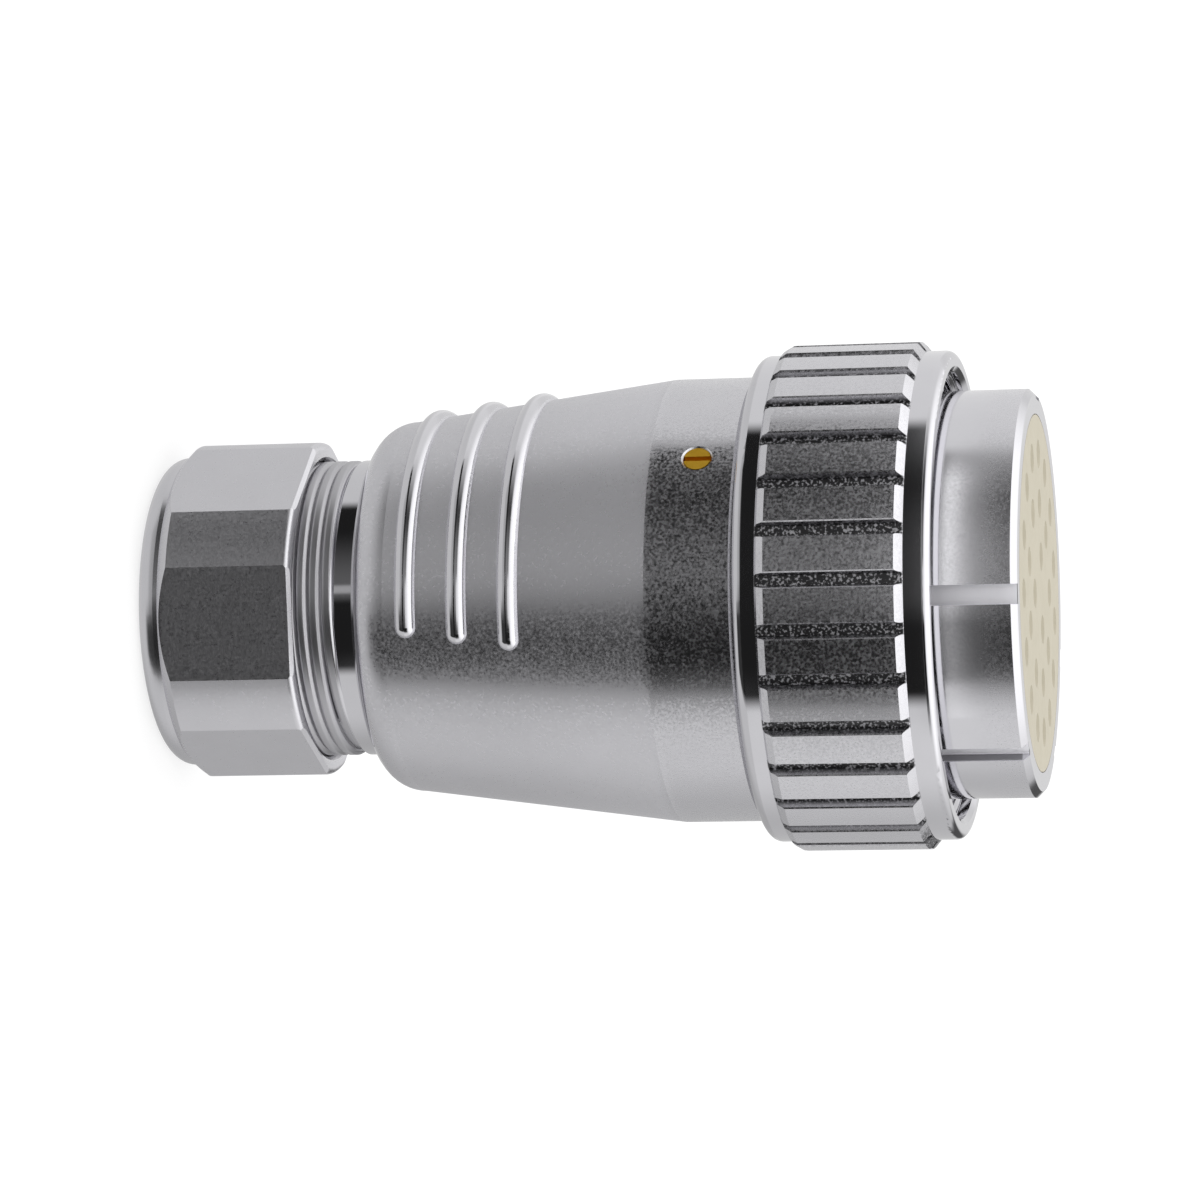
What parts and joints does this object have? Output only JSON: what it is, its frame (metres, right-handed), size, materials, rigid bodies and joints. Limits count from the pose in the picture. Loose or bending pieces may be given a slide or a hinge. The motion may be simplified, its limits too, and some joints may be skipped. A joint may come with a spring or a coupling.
{
  "type": "circular connector cable plug",
  "caption": "Straight chrome cable plug of a circular connector, with a knurled coupling ring, keyed barrel, cream socket insert and cable gland nut.",
  "frame": {"origin": "centre of the gland nut's rear face, on which the plug stands", "axes": "+Z along the plug's axis towards the mating face; -Y towards the side that the picture faces, -X towards the picture's top"},
  "size_m": [0.057, 0.057, 0.1],
  "materials": {
    "shell_chrome": "satin pearl chrome on a zinc casting",
    "ring_chrome": "satin chrome lands and polished lips",
    "nut_chrome": "satin chrome",
    "screw_brass": "bare turned brass",
    "contact_silver": "silver-plated brass",
    "insert_cream": "matte moulded cream plastic",
    "black_rubber": "matte black rubber",
    "zinc_steel": "zinc-plated steel"
  },
  "bodies": {
    "plug": {"back_shell": "shell_chrome", "lock_screw": "screw_brass", "front_shell": "shell_chrome", "face_gasket": "black_rubber", "socket_insert": "insert_cream", "rear_insert": "insert_cream", "insert_screw": "zinc_steel", "gland_grommet": "black_rubber", "contact_01": "contact_silver", "contact_02": "contact_silver", "contact_03": "contact_silver", "contact_04": "contact_silver", "contact_05": "contact_silver", "contact_06": "contact_silver", "contact_07": "contact_silver", "contact_08": "contact_silver", "contact_09": "contact_silver", "contact_10": "contact_silver", "contact_11": "contact_silver", "contact_12": "contact_silver", "contact_13": "contact_silver", "contact_14": "contact_silver", "contact_15": "contact_silver", "contact_16": "contact_silver", "contact_17": "contact_silver", "contact_18": "contact_silver", "contact_19": "contact_silver", "contact_20": "contact_silver", "contact_21": "contact_silver", "contact_22": "contact_silver", "contact_23": "contact_silver", "contact_24": "contact_silver", "contact_25": "contact_silver", "contact_26": "contact_silver", "contact_27": "contact_silver"},
    "coupling_ring": {"coupling_ring": "ring_chrome"},
    "slip_washer": {"slip_washer": "zinc_steel"},
    "gland_nut": {"gland_nut": "nut_chrome"}
  },
  "joints": [
    {"name": "ring_turn", "type": "hinge", "parent": "plug", "child": "coupling_ring", "pos_m": [0, 0, 0.0795], "axis": [0, 0, 1], "continuous": true},
    {"name": "washer_slide", "type": "slide", "parent": "plug", "child": "slip_washer", "axis": [0, 0, 1], "range_m": [-0.009, 0.003]},
    {"name": "nut_turn", "type": "hinge", "parent": "slip_washer", "child": "gland_nut", "pos_m": [0, 0, 0.009], "axis": [0, 0, 1], "range_deg": [-2160, 720]}
  ],
  "couplings": [
    {"joint": "washer_slide", "follows": "nut_turn", "m_per_rad": 0.00023873}
  ]
}
